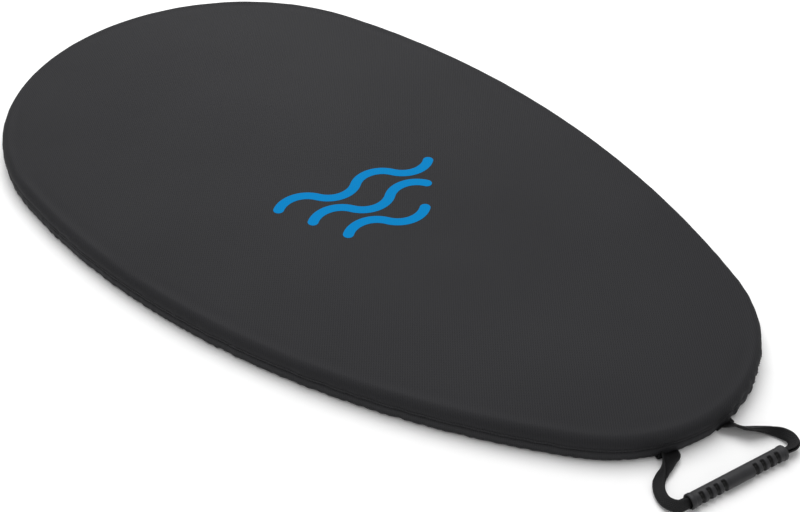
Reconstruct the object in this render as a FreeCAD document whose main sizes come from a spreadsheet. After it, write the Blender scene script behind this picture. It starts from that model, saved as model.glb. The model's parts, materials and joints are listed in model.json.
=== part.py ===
import FreeCAD, Part
import math
import os
import Sketcher

# A cockpit cover for a kayak: an egg-shaped cloth lid with a sewn side band, an elastic hem and a grab
# handle at the bow end.
#
# Frame: millimetres, +Z up, +X towards the bow. The origin is the middle of the deck's flat underside,
# which lies on the top of the cockpit rim. Heights below that face are called depths. An inset is a
# distance inwards from the cover's outline, so every ring of the cover is the same egg at its own inset.

SIZES = [
    # outline
    ("cover_length", 900, "length of the outline along X"),
    ("cover_width", 520, "width of the outline along Y"),
    ("rear_narrowing", 0.02, "share of the width by which the rear end's radius is under half of it"),
    ("front_narrowing", 0.20, "share of the width by which the front end's radius is under half of it"),
    ("cover_twist", -18.7, "how far the handle and the print are turned about Z, degrees"),
    # deck, band and tape
    ("cloth_thickness", 1.0, "thickness of the deck, band, tape and patch cloth"),
    ("ply_gap", 0.05, "gap between two plies of cloth that are sewn together"),
    ("edge_radius", 8, "outer radius of the deck's rolled edge"),
    ("deck_skirt", 12, "depth of the deck's lower edge"),
    ("roll_margin", 0.5, "how far below the inside of the rolled edge the band and the tape begin"),
    ("seam_reveal", 1.5, "strip of band that shows between deck and hem"),
    ("tape_clearance", 0.5, "gap between the seam tape and the top of the hem"),
    ("thread_diameter", 0.6, "diameter of the sewing thread"),
    # hem and cord
    ("hem_wall", 1.5, "cloth on each side of the cord channel"),
    ("hem_floor", 2.7, "cloth below the cord channel, which the webbing's notches are cut into"),
    ("hem_corner", 2.5, "corner radius of the hem casing"),
    ("upstand_height", 5, "height of the casing's sewn edge above the casing"),
    ("channel_roof", 0.8, "cloth above the cord channel"),
    ("channel_clearance", 1.0, "radial clearance of the cord in its channel"),
    ("cord_diameter", 6, "outer diameter of the elastic cord"),
    ("sheath_thickness", 0.6, "thickness of the cord's braided sheath"),
    ("cord_fit", 0.03, "radial gap between core and sheath"),
    ("cord_gap", 0.6, "gap between the cord's two cut ends"),
    ("crimp_length", 14, "length of the crimp round the cord's ends"),
    ("crimp_wall", 0.6, "wall of the crimp"),
    ("crimp_fit", 0.08, "radial gap between crimp and cord"),
    # handle webbing
    ("root_spacing", 66, "distance between the middles of the webbing's two ends"),
    ("webbing_width", 20, "width of the flat webbing"),
    ("webbing_thickness", 1.5, "thickness of the flat webbing"),
    ("webbing_clearance", 0.3, "clearance round the webbing where it crosses the hem"),
    ("tail_height", 10, "height of the webbing's end inside the hem"),
    ("folded_width", 5, "height of the webbing where it is folded lengthwise"),
    ("folded_thickness", 2.8, "thickness of the webbing where it is folded lengthwise"),
    ("hinge_offset", 3.6, "distance of the webbing's fold line outside the hem"),
    ("fold_gap", 1.1, "gap left at the fold line for the bend"),
    ("reach", 46, "distance from the fold line to the grip's axis"),
    ("loop_overhang", 14.5, "how far the loop stands out past each end of the grip"),
    ("bend_radius", 10, "radius of the loop's bend beside the grip"),
    ("leg_bend_radius", 12, "radius of the bend in each leg"),
    ("knee_distance", 20, "distance from the fold line to the corner where each leg turns"),
    ("tongue_length", 12, "distance from the fold line to where the flat webbing is folded"),
    # grip
    ("grip_length", 103, "length of the grip"),
    ("grip_diameter", 12.6, "diameter of the grip over its ribs"),
    ("bore_clearance", 0.83, "gap between the corners of the folded webbing and the grip's bore"),
    ("collar_height", 0.4, "how far each end collar stands out from the ribs"),
    ("collar_length", 4, "length of each end collar"),
    ("groove_inset", 11.2, "distance of the first groove's middle from the grip's end"),
    ("groove_pitch", 7.8, "distance between grooves"),
    ("groove_width", 4, "width of a groove"),
    ("groove_depth", 1.4, "depth of a groove"),
    ("groove_arc", 280, "how far a groove runs round the grip, degrees"),
    ("grip_roll", 50, "how far the grip is turned on the webbing, degrees"),
    ("floor_gap", 0.05, "gap between the collars and the surface that the hem lies on"),
    # patches, bar tacks, print and label
    ("patch_margin", 5, "how far a reinforcing patch stands out on each side of the webbing"),
    ("patch_height", 8.6, "height of a reinforcing patch"),
    ("patch_clearance", 0.1, "gap between a patch and the edges of the webbing's straight end"),
    ("tack_margin", 3, "distance of a box of bar tacks from the webbing's edges"),
    ("tack_height", 5, "height of a box of bar tacks"),
    ("tack_line", 1.0, "width of a line of bar tacks"),
    ("tack_thickness", 0.4, "thickness of a bar tack"),
    ("mark_x", 40, "middle of the print along X"),
    ("mark_y", -20, "middle of the print along Y"),
    ("mark_stroke", 11, "width of a printed stroke"),
    ("mark_chord", 44, "length of half a wave"),
    ("mark_sweep", 100, "angle of each arc of a wave, degrees"),
    ("mark_pitch", 34, "distance between two waves"),
    ("mark_thickness", 0.15, "thickness of the printed film"),
    ("label_width", 34, "width of the care label"),
    ("label_drop", 10, "how far the care label hangs down inside the hem"),
    ("label_thickness", 0.5, "thickness of the care label"),
]

GROOVES_AT_EACH_END = 4
HALF_WAVES = (4, 3, 2)   # length of each printed wave, in half waves

document = FreeCAD.newDocument("CockpitCover")
sheet = document.addObject("Spreadsheet::Sheet", "Sizes")
for row, (alias, value, meaning) in enumerate(SIZES, start=1):
    sheet.set(f"A{row}", alias)
    sheet.set(f"B{row}", str(value))
    sheet.set(f"C{row}", meaning)
    sheet.setAlias(f"B{row}", alias)
document.recompute()

# Expressions that several pieces share.
FRONT_RADIUS = "((1 / 2 - Sizes.front_narrowing) * Sizes.cover_width)"
REAR_RADIUS = "((1 / 2 - Sizes.rear_narrowing) * Sizes.cover_width)"
FRONT_CENTRE = f"(Sizes.cover_length / 2 - {FRONT_RADIUS})"
REAR_CENTRE = f"(Sizes.cover_length / 2 - {REAR_RADIUS})"   # its distance behind the origin
CHANNEL_RADIUS = "(Sizes.cord_diameter / 2 + Sizes.channel_clearance)"
HEM_WIDTH = f"(2 * ({CHANNEL_RADIUS} + Sizes.hem_wall))"
HEM_HEIGHT = f"(Sizes.channel_roof + 2 * {CHANNEL_RADIUS} + Sizes.hem_floor)"
HEM_TOP = "(Sizes.deck_skirt + Sizes.seam_reveal)"
HEM_BOTTOM = f"({HEM_TOP} + {HEM_HEIGHT})"
BAND_INSET = "(Sizes.cloth_thickness + Sizes.ply_gap)"
BAND_TOP = "(Sizes.edge_radius - Sizes.cloth_thickness + Sizes.roll_margin)"
UPSTAND_INSET = f"(2 * {BAND_INSET})"
TAPE_INSET = f"(3 * {BAND_INSET})"
CORD_INSET = f"({HEM_WIDTH} / 2)"
CORD_DEPTH = f"({HEM_TOP} + Sizes.channel_roof + {CHANNEL_RADIUS})"
ROOT_TURN = f"asin(Sizes.root_spacing / 2 / {FRONT_RADIUS})"
FOLD_LINE = f"(({FRONT_RADIUS} + Sizes.hinge_offset) * cos({ROOT_TURN}))"
LEG_START = f"(({FRONT_RADIUS} + Sizes.hinge_offset) * sin({ROOT_TURN}))"
LOOP_HALF_WIDTH = "(Sizes.grip_length / 2 + Sizes.loop_overhang)"
LEG_ANGLE = f"atan(({LOOP_HALF_WIDTH} - {LEG_START}) / Sizes.knee_distance)"
LEG_END = f"({LEG_START} + Sizes.tongue_length * tan({LEG_ANGLE}))"
COLLAR_RADIUS = "(Sizes.grip_diameter / 2 + Sizes.collar_height)"
BORE_RADIUS = "(sqrt(Sizes.folded_width^2 + Sizes.folded_thickness^2) / 2 + Sizes.bore_clearance)"
FOLD_HEIGHT = f"(Sizes.webbing_thickness / 2 - {HEM_BOTTOM})"
GRIP_HEIGHT = f"({COLLAR_RADIUS} + Sizes.floor_gap - {HEM_BOTTOM})"
TILT = f"asin(({GRIP_HEIGHT} - {FOLD_HEIGHT}) / Sizes.reach)"
PATCH_OUTER = f"({FRONT_RADIUS} - {HEM_WIDTH} - Sizes.ply_gap)"
PATCH_INNER = f"({PATCH_OUTER} - Sizes.cloth_thickness)"
TAIL_FACE = f"(sqrt({PATCH_INNER}^2 - (Sizes.webbing_width / 2)^2) - Sizes.patch_clearance)"


def size(expression):
    """The value of an expression over the sheet, as a plain number."""
    value = sheet.evalExpression(expression)
    return float(getattr(value, "Value", value))


def origin_plane(body, role):
    """One of the origin's planes or axes of a body."""
    return next(item for item in body.Origin.OriginFeatures if item.Role == role)


def new_body(name):
    """An empty body whose label is the name of its node."""
    body = document.addObject("PartDesign::Body", name)
    body.Label = name
    return body


def new_sketch(body, name, role, offset=None):
    """A sketch on a plane of the body's own origin, moved by a placement expression."""
    sketch = body.newObject("Sketcher::SketchObject", name)
    sketch.AttachmentSupport = (origin_plane(body, role), [""])
    sketch.MapMode = "FlatFace"
    if offset:
        sketch.setExpression("AttachmentOffset", offset)
    return sketch


def constrain(sketch, kind, *where, value):
    """A dimension of a sketch, driven by an expression."""
    index = sketch.addConstraint(Sketcher.Constraint(kind, *where, size(value)))
    sketch.setExpression(f"Constraints[{index}]", value)


def raised(depth):
    """The placement expression of a level plane at a depth."""
    return f"placement(vector(0; 0; -({depth})); rotation(0; 0; 0))"


def add_egg(sketch, inset):
    """One closed loop of the cover's outline: a front arc, split at the bow, a rear arc and two flanks."""
    half_width = size(f"Sizes.cover_width / 2 - ({inset})")
    rear = size(f"{REAR_RADIUS} - ({inset})")
    front = size(f"{FRONT_RADIUS} - ({inset})")
    rear_x, front_x = -size(REAR_CENTRE), size(FRONT_CENTRE)
    span, above_rear, above_front = front_x - rear_x, half_width - rear, half_width - front
    root = math.sqrt(above_rear * (span ** 2 - (rear - front) ** 2))
    root = (span ** 2 + above_rear * (rear - front)) / (span * math.sqrt(above_front) + root)
    flank = (root ** 2 + front + half_width) / 2
    flank_x, flank_y = front_x - math.sqrt(above_front) * root, flank - half_width
    front_end = math.atan2(flank_y, front_x - flank_x)
    rear_end = math.atan2(flank_y, rear_x - flank_x)
    turn = 2 * math.pi
    first = len(sketch.Geometry)
    for x, y, radius, start, end in [
            (front_x, 0, front, 0, front_end),
            (flank_x, -flank_y, flank, front_end, rear_end),
            (rear_x, 0, rear, rear_end, turn - rear_end),
            (flank_x, flank_y, flank, turn - rear_end, turn - front_end),
            (front_x, 0, front, -front_end, 0)]:
        circle = Part.Circle(FreeCAD.Vector(x, y, 0), FreeCAD.Vector(0, 0, 1), radius)
        sketch.addGeometry(Part.ArcOfCircle(circle, start, end), False)
    ends = FreeCAD.Vector(rear_x, half_width, 0), FreeCAD.Vector(front_x, half_width, 0)
    width_line = sketch.addGeometry(Part.LineSegment(*ends), True)
    for number in range(5):
        place = first + number, 2, first + (number + 1) % 5, 1
        sketch.addConstraint(Sketcher.Constraint("Tangent", *place))
    for arc, point in ((first, 3), (first + 2, 3), (first, 1)):
        sketch.addConstraint(Sketcher.Constraint("PointOnObject", arc, point, -1))
    sketch.addConstraint(Sketcher.Constraint("Equal", first + 1, first + 3))
    sketch.addConstraint(Sketcher.Constraint("Equal", first, first + 4))
    sketch.addConstraint(Sketcher.Constraint("Horizontal", width_line))
    sketch.addConstraint(Sketcher.Constraint("Tangent", width_line, first + 1))
    sketch.addConstraint(Sketcher.Constraint("Vertical", width_line, 1, first + 2, 3))
    sketch.addConstraint(Sketcher.Constraint("Vertical", width_line, 2, first, 3))
    constrain(sketch, "Radius", first, value=f"{FRONT_RADIUS} - ({inset})")
    constrain(sketch, "Radius", first + 2, value=f"{REAR_RADIUS} - ({inset})")
    constrain(sketch, "DistanceX", -1, 1, first, 3, value=FRONT_CENTRE)
    constrain(sketch, "DistanceX", first + 2, 3, -1, 1, value=REAR_CENTRE)
    constrain(sketch, "DistanceY", -1, 1, width_line, 1, value=f"Sizes.cover_width / 2 - ({inset})")


def egg_sketch(body, name, depth, *insets):
    """A level sketch at a depth, with one egg for each inset."""
    sketch = new_sketch(body, name, "XY_Plane", raised(depth))
    for inset in insets:
        add_egg(sketch, inset)
    return sketch


def add_polygon(sketch, points):
    """A closed polygon whose corners are pairs of expressions."""
    places = [FreeCAD.Vector(size(x), size(y), 0) for x, y in points]
    first = len(sketch.Geometry)
    count = len(points)
    for number in range(count):
        sketch.addGeometry(Part.LineSegment(places[number], places[(number + 1) % count]), False)
    for number, (x, y) in enumerate(points):
        joint = first + number, 2, first + (number + 1) % count, 1
        sketch.addConstraint(Sketcher.Constraint("Coincident", *joint))
        constrain(sketch, "DistanceX", -1, 1, first + number, 1, value=x)
        constrain(sketch, "DistanceY", -1, 1, first + number, 1, value=y)


def add_rectangle(sketch, left, right, low, high):
    """A rectangle between four expressions."""
    add_polygon(sketch, [(left, low), (right, low), (right, high), (left, high)])


def add_circle(sketch, x, y, radius):
    """A circle at a place and of a radius given by expressions."""
    centre = FreeCAD.Vector(size(x), size(y), 0)
    index = sketch.addGeometry(Part.Circle(centre, FreeCAD.Vector(0, 0, 1), size(radius)), False)
    constrain(sketch, "DistanceX", -1, 1, index, 3, value=x)
    constrain(sketch, "DistanceY", -1, 1, index, 3, value=y)
    constrain(sketch, "Radius", index, value=radius)


def new_feature(body, kind, name, sketch, expressions, **properties):
    """A PartDesign feature on a sketch, with its driven and its plain properties, recomputed."""
    feature = body.newObject(f"PartDesign::{kind}", name)
    feature.Profile = sketch
    for key, value in properties.items():
        setattr(feature, key, value)
    for key, expression in expressions.items():
        feature.setExpression(key, expression)
    sketch.Visibility = False
    document.recompute()
    return feature


def pad(body, name, sketch, length, **properties):
    """A pad of a sketch by a length expression."""
    return new_feature(body, "Pad", name, sketch, {"Length": length}, **properties)


def pocket(body, name, sketch, length, **properties):
    """A pocket whose volume is checked, because one that points away from the body cuts nothing."""
    before = body.Shape.Volume
    feature = new_feature(body, "Pocket", name, sketch, {"Length": length}, **properties)
    if feature.Shape.Volume >= before - 0.01:
        raise RuntimeError(f"{body.Label}: {name} cuts nothing")
    return feature


def fillet_level_edges(body, heights, radius):
    """A fillet on all edges that lie level at one of the heights."""
    base = body.Tip
    wanted = []
    for number, edge in enumerate(base.Shape.Edges, start=1):
        box = edge.BoundBox
        if any(abs(box.ZMin - z) < 1e-4 and abs(box.ZMax - z) < 1e-4 for z in heights):
            wanted.append(f"Edge{number}")
    fillet = body.newObject("PartDesign::Fillet", "RoundedEdge")
    fillet.Base = (base, wanted)
    fillet.setExpression("Radius", radius)
    document.recompute()
    return fillet


def ring_pipe(body, name, inset, depth, radius, kind="AdditivePipe"):
    """A round ring that follows the egg at an inset, added to the body or cut from it."""
    path = egg_sketch(body, name + "Path", depth, inset)
    section = new_sketch(body, name + "Section", "XZ_Plane")
    add_circle(section, f"Sizes.cover_length / 2 - ({inset})", f"-({depth})", radius)
    document.recompute()
    before = body.Shape.Volume if body.Tip else 0.0
    spine = (path, [f"Edge{number}" for number in range(1, 6)])
    pipe = new_feature(body, kind, name, section, {}, Spine=spine)
    path.Visibility = False
    if abs(pipe.Shape.Volume - before) < 1.0:
        raise RuntimeError(f"{body.Label}: {name} changes nothing")
    return pipe


def turned(x, depth, angle):
    """The placement of a frame on the X axis, at a depth, turned about Z."""
    return f"placement(vector({x}; 0; -({depth})); rotation({angle}; 0; 0))"


def root_angle(side):
    """The direction of one end of the webbing, seen from the centre of the front arc."""
    return f"Sizes.cover_twist * 1 deg + {side} * {ROOT_TURN}"


def make_deck():
    """The deck: a flat panel whose edge rolls over the rim into a short skirt."""
    body = new_body("deck_panel")
    pad(body, "Block", egg_sketch(body, "Outline", "Sizes.deck_skirt", "0"),
        "Sizes.deck_skirt + Sizes.cloth_thickness")
    pocket(body, "Hollow", egg_sketch(body, "Inside", "Sizes.deck_skirt", "Sizes.cloth_thickness"),
           "Sizes.deck_skirt", Reversed=True)
    fillet_level_edges(body, [size("Sizes.cloth_thickness")], "Sizes.edge_radius")
    fillet_level_edges(body, [0.0], "Sizes.edge_radius - Sizes.cloth_thickness")


def make_ring(name, inset, top, height):
    """An upright ring of cloth, one ply thick."""
    body = new_body(name)
    inner = f"{inset} + Sizes.cloth_thickness"
    pad(body, "Ply", egg_sketch(body, "Outline", f"{top} + {height}", inset, inner), height)


def make_hem():
    """The hem casing: folded cloth with a sewn upstand, a cord channel and two notches for the webbing."""
    body = new_body("hem_casing")
    block = egg_sketch(body, "Outline", HEM_BOTTOM, "0", HEM_WIDTH)
    pad(body, "Block", block, HEM_HEIGHT)
    fillet_level_edges(body, [-size(HEM_TOP), -size(HEM_BOTTOM)], "Sizes.hem_corner")
    ply = egg_sketch(body, "UpstandOutline", f"{HEM_TOP} + Sizes.hem_corner", UPSTAND_INSET,
                     f"{UPSTAND_INSET} + Sizes.cloth_thickness")
    pad(body, "Upstand", ply, "Sizes.upstand_height + Sizes.hem_corner")
    ring_pipe(body, "Channel", CORD_INSET, CORD_DEPTH, CHANNEL_RADIUS, "SubtractivePipe")
    for side in (-1, 1):
        notch = new_sketch(body, f"NotchOutline{side + 1}", "XY_Plane",
                           turned(FRONT_CENTRE, HEM_BOTTOM, root_angle(side)))
        half = "(Sizes.webbing_width / 2 + Sizes.webbing_clearance)"
        add_rectangle(notch, f"{FRONT_RADIUS} - 2 * {HEM_WIDTH}",
                      f"{FRONT_RADIUS} + {HEM_WIDTH}", f"-{half}", half)
        pocket(body, f"Notch{side + 1}", notch, "Sizes.webbing_thickness + Sizes.webbing_clearance",
               Reversed=True)


def make_cord():
    """The elastic cord: a rubber core in a braided sheath, its ends facing each other at the rear."""
    core_radius = "(Sizes.cord_diameter / 2 - Sizes.sheath_thickness - Sizes.cord_fit)"
    bore_radius = "(Sizes.cord_diameter / 2 - Sizes.sheath_thickness)"
    for name, radius in (("shock_cord_core", core_radius), ("shock_cord_sheath", "Sizes.cord_diameter / 2")):
        body = new_body(name)
        ring_pipe(body, "Ring", CORD_INSET, CORD_DEPTH, radius)
        if name == "shock_cord_sheath":
            ring_pipe(body, "Bore", CORD_INSET, CORD_DEPTH, bore_radius, "SubtractivePipe")
        slot = new_sketch(body, "EndGap", "XY_Plane", raised(f"{CORD_DEPTH} + Sizes.cord_diameter"))
        add_rectangle(slot, "-Sizes.cover_length / 2", f"-Sizes.cover_length / 2 + {HEM_WIDTH}",
                      "-Sizes.cord_gap / 2", "Sizes.cord_gap / 2")
        pocket(body, "CutEnds", slot, "2 * Sizes.cord_diameter", Reversed=True)


def make_crimp():
    """The crimp that joins the cord's ends: a short tube that follows the rear arc."""
    body = new_body("cord_crimp")
    middle = f"({REAR_RADIUS} - {CORD_INSET})"
    inner = "Sizes.cord_diameter / 2 + Sizes.crimp_fit"
    section = new_sketch(body, "Section", "XZ_Plane")
    add_circle(section, middle, "0", inner)
    add_circle(section, middle, "0", f"{inner} + Sizes.crimp_wall")
    new_feature(body, "Revolution", "Tube", section,
                {"Angle": f"Sizes.crimp_length / {middle} * 180 / pi"},
                ReferenceAxis=(origin_plane(body, "Z_Axis"), [""]), Midplane=True)
    body.setExpression("Placement", turned(f"-{REAR_CENTRE}", CORD_DEPTH, "180"))


def make_threads():
    """The two seams' threads, each a ring that lies on the cloth."""
    radius = "(Sizes.thread_diameter / 2)"
    lift = f"({radius} + Sizes.ply_gap)"
    body = new_body("deck_seam_thread")
    ring_pipe(body, "Ring", f"-{lift}", f"({BAND_TOP} + Sizes.deck_skirt) / 2", radius)
    body = new_body("hem_seam_thread")
    ring_pipe(body, "Ring", f"{BAND_INSET} - {lift}", "Sizes.deck_skirt + Sizes.seam_reveal / 2", radius)


def make_root(side, word):
    """One sewn end of the handle: a patch, the webbing's end and its bar tacks, inside the hem."""
    angle = root_angle(side)
    low = f"{HEM_BOTTOM} - Sizes.webbing_thickness - Sizes.webbing_clearance"
    patch = new_body(f"patch_{word}")
    section = new_sketch(patch, "Section", "XZ_Plane")
    add_rectangle(section, PATCH_INNER, PATCH_OUTER, f"-({low})", f"Sizes.patch_height - ({low})")
    new_feature(patch, "Revolution", "CurvedPly", section,
                {"Angle": f"(Sizes.webbing_width + 2 * Sizes.patch_margin) / {PATCH_OUTER} * 180 / pi"},
                ReferenceAxis=(origin_plane(patch, "Z_Axis"), [""]), Midplane=True)
    patch.setExpression("Placement", turned(FRONT_CENTRE, "0", angle))

    tail = new_body(f"webbing_tail_{word}")
    half = "Sizes.webbing_width / 2"
    inner_face = f"({TAIL_FACE} - Sizes.webbing_thickness)"
    end = f"({FRONT_RADIUS} + Sizes.hinge_offset - Sizes.fold_gap / cos({ROOT_TURN}))"
    slant = f"(Sizes.webbing_width / 2 * tan({ROOT_TURN}) * {side})"
    run = new_sketch(tail, "RunOutline", "XY_Plane")
    add_polygon(run, [(inner_face, f"-{half}"), (f"{end} - {slant}", f"-{half}"),
                      (f"{end} + {slant}", half), (inner_face, half)])
    pad(tail, "Run", run, "Sizes.webbing_thickness")
    rise = new_sketch(tail, "RiseOutline", "XY_Plane")
    add_rectangle(rise, inner_face, TAIL_FACE, f"-{half}", half)
    pad(tail, "Rise", rise, "Sizes.tail_height")
    tail.setExpression("Placement", turned(FRONT_CENTRE, HEM_BOTTOM, angle))

    tack = new_body(f"bar_tack_{word}")
    box = new_sketch(tack, "Box", "YZ_Plane", f"placement(vector(0; 0; {inner_face}); rotation(0; 0; 0))")
    low = "(Sizes.tail_height - Sizes.tack_height) / 2 + Sizes.webbing_thickness / 2"
    side_edge = "(Sizes.webbing_width / 2 - Sizes.tack_margin)"
    for margin in ("0", "Sizes.tack_line"):
        add_rectangle(box, f"{margin} - {side_edge}", f"{side_edge} - {margin}",
                      f"{low} + {margin}", f"{low} + Sizes.tack_height - {margin}")
    pad(tack, "Thread", box, "Sizes.tack_thickness", Reversed=True)
    tack.setExpression("Placement", turned(FRONT_CENTRE, HEM_BOTTOM, angle))


def handle_placement(distance, roll):
    """The placement of a piece of the handle, at a distance along its plane from the fold line."""
    along = f"({FOLD_LINE} + {distance} * cos({TILT}))"
    twist = "(Sizes.cover_twist * 1 deg)"
    return (f"placement(vector({FRONT_CENTRE} + {along} * cos({twist}); {along} * sin({twist});"
            f" {FOLD_HEIGHT} + {distance} * sin({TILT})); rotation({twist}; {roll} - {TILT}; 0 deg))")


def add_leg_path(sketch):
    """Half of the loop's middle line: along the grip, round the bend, back, and along the leg."""
    reach, wide = size("Sizes.reach"), size(LOOP_HALF_WIDTH)
    bend, leg_bend = size("Sizes.bend_radius"), size("Sizes.leg_bend_radius")
    knee = size("Sizes.knee_distance")
    angle = math.atan2(wide - size(LEG_START), knee)
    trim = leg_bend * math.tan(angle / 2)
    point = FreeCAD.Vector
    up = point(0, 0, 1)
    sketch.addGeometry(Part.LineSegment(point(reach, 0, 0), point(reach, wide - bend, 0)), False)
    bend_circle = Part.Circle(point(reach - bend, wide - bend, 0), up, bend)
    sketch.addGeometry(Part.ArcOfCircle(bend_circle, 0, math.pi / 2), False)
    sketch.addGeometry(Part.LineSegment(point(reach - bend, wide, 0), point(knee + trim, wide, 0)), False)
    leg_circle = Part.Circle(point(knee + trim, wide - leg_bend, 0), up, leg_bend)
    sketch.addGeometry(Part.ArcOfCircle(leg_circle, math.pi / 2, math.pi / 2 + angle), False)
    leg_end = leg_circle.Center + leg_bend * point(-math.sin(angle), math.cos(angle), 0)
    root = point(size("Sizes.tongue_length"), size(LEG_END), 0)
    sketch.addGeometry(Part.LineSegment(leg_end, root), False)
    for number in range(4):
        sketch.addConstraint(Sketcher.Constraint("Tangent", number, 2, number + 1, 1))
    sketch.addConstraint(Sketcher.Constraint("Vertical", 0))
    sketch.addConstraint(Sketcher.Constraint("Horizontal", 2))
    sketch.addConstraint(Sketcher.Constraint("PointOnObject", 0, 1, -1))
    constrain(sketch, "DistanceX", -1, 1, 0, 1, value="Sizes.reach")
    constrain(sketch, "DistanceY", -1, 1, 2, 1, value=LOOP_HALF_WIDTH)
    constrain(sketch, "Radius", 1, value="Sizes.bend_radius")
    constrain(sketch, "Radius", 3, value="Sizes.leg_bend_radius")
    constrain(sketch, "DistanceX", -1, 1, 4, 2, value="Sizes.tongue_length")
    constrain(sketch, "DistanceY", -1, 1, 4, 2, value=LEG_END)
    index = sketch.addConstraint(Sketcher.Constraint("Angle", -1, 1, 4, 2, angle))
    sketch.setExpression(f"Constraints[{index}]", LEG_ANGLE)


def make_loop():
    """The handle's loop: folded webbing round the grip, with a flat tongue at each fold line."""
    body = new_body("webbing_loop")
    path = new_sketch(body, "HalfPath", "XY_Plane")
    add_leg_path(path)
    section = new_sketch(body, "Section", "XZ_Plane")
    half_thick, half_high = "Sizes.folded_thickness / 2", "Sizes.folded_width / 2"
    add_rectangle(section, f"Sizes.reach - {half_thick}", f"Sizes.reach + {half_thick}",
                  f"-{half_high}", half_high)
    document.recompute()
    spine = (path, [f"Edge{number}" for number in range(1, 6)])
    new_feature(body, "AdditivePipe", "Half", section, {}, Spine=spine)
    tongue = new_sketch(body, "TongueOutline", "XY_Plane",
                        "placement(vector(0; 0; -Sizes.webbing_thickness / 2); rotation(0; 0; 0))")
    half_root = f"(Sizes.webbing_width / 2 / cos({ROOT_TURN}))"
    near, tip = "Sizes.fold_gap / 4", "Sizes.tongue_length + Sizes.folded_thickness / 2"
    add_polygon(tongue, [(near, f"{LEG_START} - {half_root}"), (tip, f"{LEG_END} - Sizes.folded_width / 2"),
                         (tip, f"{LEG_END} + Sizes.folded_width / 2"), (near, f"{LEG_START} + {half_root}")])
    last = pad(body, "Tongue", tongue, "Sizes.webbing_thickness")
    mirror = body.newObject("PartDesign::Mirrored", "OtherHalf")
    mirror.Originals = [body.getObject("Half"), last]
    mirror.MirrorPlane = (origin_plane(body, "XZ_Plane"), [""])
    body.Tip = mirror
    path.Visibility = False
    document.recompute()
    body.setExpression("Placement", handle_placement("0", "0 deg"))


def make_grip():
    """The moulded grip: a tube with end collars and finger grooves that stop short of a plain spine."""
    body = new_body("grip_tube")
    profile = new_sketch(body, "Profile", "XY_Plane")
    bore, rib, collar = BORE_RADIUS, "Sizes.grip_diameter / 2", COLLAR_RADIUS
    end = "Sizes.grip_length / 2"
    step = f"{end} - Sizes.collar_length"
    shoulder = f"{step} - 2 * Sizes.collar_height"
    add_polygon(profile, [(bore, f"-({end})"), (collar, f"-({end})"), (collar, f"-({step})"),
                          (rib, f"-({shoulder})"), (rib, shoulder), (collar, step),
                          (collar, end), (bore, end)])
    axis = (origin_plane(body, "Y_Axis"), [""])
    new_feature(body, "Revolution", "Tube", profile, {}, ReferenceAxis=axis, Angle=360)
    grooves = new_sketch(body, "GrooveSections", "XY_Plane")
    for end_sign in (-1, 1):
        for number in range(GROOVES_AT_EACH_END):
            middle = f"({end_sign} * ({end} - Sizes.groove_inset - {number} * Sizes.groove_pitch))"
            add_rectangle(grooves, f"{rib} - Sizes.groove_depth", f"{rib} + Sizes.groove_depth",
                          f"{middle} - Sizes.groove_width / 2", f"{middle} + Sizes.groove_width / 2")
    before = body.Shape.Volume
    new_feature(body, "Groove", "FingerGrooves", grooves, {"Angle": "Sizes.groove_arc"},
                ReferenceAxis=axis, Midplane=True)
    if body.Shape.Volume >= before - 1:
        raise RuntimeError("grip_tube: the grooves cut nothing")
    body.setExpression("Placement", handle_placement("Sizes.reach", "Sizes.grip_roll * 1 deg"))


def make_print():
    """The print: a thin film in three wave strokes, each a chain of arcs that bend left and right."""
    chord, sweep = size("Sizes.mark_chord"), math.radians(size("Sizes.mark_sweep"))
    stroke, thickness = size("Sizes.mark_stroke"), size("Sizes.mark_thickness")
    radius = chord / 2 / math.sin(sweep / 2)
    drop = radius * math.cos(sweep / 2)
    up = FreeCAD.Vector(0, 0, 1)
    waves = []
    for wave, count in enumerate(HALF_WAVES):
        height = (1 - wave) * size("Sizes.mark_pitch")
        left = -count * chord / 2
        pieces = []
        for number in range(count):
            side = 1 if number % 2 == 0 else -1
            centre = FreeCAD.Vector(left + (number + 0.5) * chord, height - side * drop, 0)
            arc = Part.makeCylinder(radius + stroke / 2, thickness, centre, up, math.degrees(sweep))
            arc = arc.cut(Part.makeCylinder(radius - stroke / 2, thickness, centre, up))
            arc.rotate(centre, up, side * 90 - math.degrees(sweep / 2))
            pieces.append(arc)
        for number in (0, count):
            place = FreeCAD.Vector(left + number * chord, height, 0)
            pieces.append(Part.makeCylinder(stroke / 2, thickness, place, up))
        waves.append(pieces[0].multiFuse(pieces[1:]).removeSplitter())
    film = document.addObject("Part::Feature", "print_mark")
    film.Label = "print_mark"
    film.Shape = Part.makeCompound([solid for wave in waves for solid in wave.Solids])
    film.setExpression("Placement", "placement(vector(Sizes.mark_x; Sizes.mark_y; Sizes.cloth_thickness);"
                                    " rotation(Sizes.cover_twist + 90; 0; 0))")


def make_label():
    """The care label: a blank strip of cloth that hangs from the seam at the rear, inside the hem."""
    body = new_body("care_label")
    section = new_sketch(body, "Section", "XZ_Plane")
    sewn_edge = f"({REAR_RADIUS} - {TAPE_INSET} - {BAND_INSET})"
    hanging_face = f"({REAR_RADIUS} - {HEM_WIDTH} - Sizes.ply_gap)"
    inner = f"({hanging_face} - Sizes.label_thickness)"
    under = f"(Sizes.ply_gap - {HEM_TOP})"
    upper = f"({under} + Sizes.label_thickness)"
    end = f"(-{HEM_TOP} - Sizes.label_drop)"
    add_polygon(section, [(inner, upper), (sewn_edge, upper), (sewn_edge, under),
                          (hanging_face, under), (hanging_face, end), (inner, end)])
    new_feature(body, "Revolution", "FoldedStrip", section,
                {"Angle": f"Sizes.label_width / {inner} * 180 / pi"},
                ReferenceAxis=(origin_plane(body, "Z_Axis"), [""]), Midplane=True)
    body.setExpression("Placement", turned(f"-{REAR_CENTRE}", "0", "180"))


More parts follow.
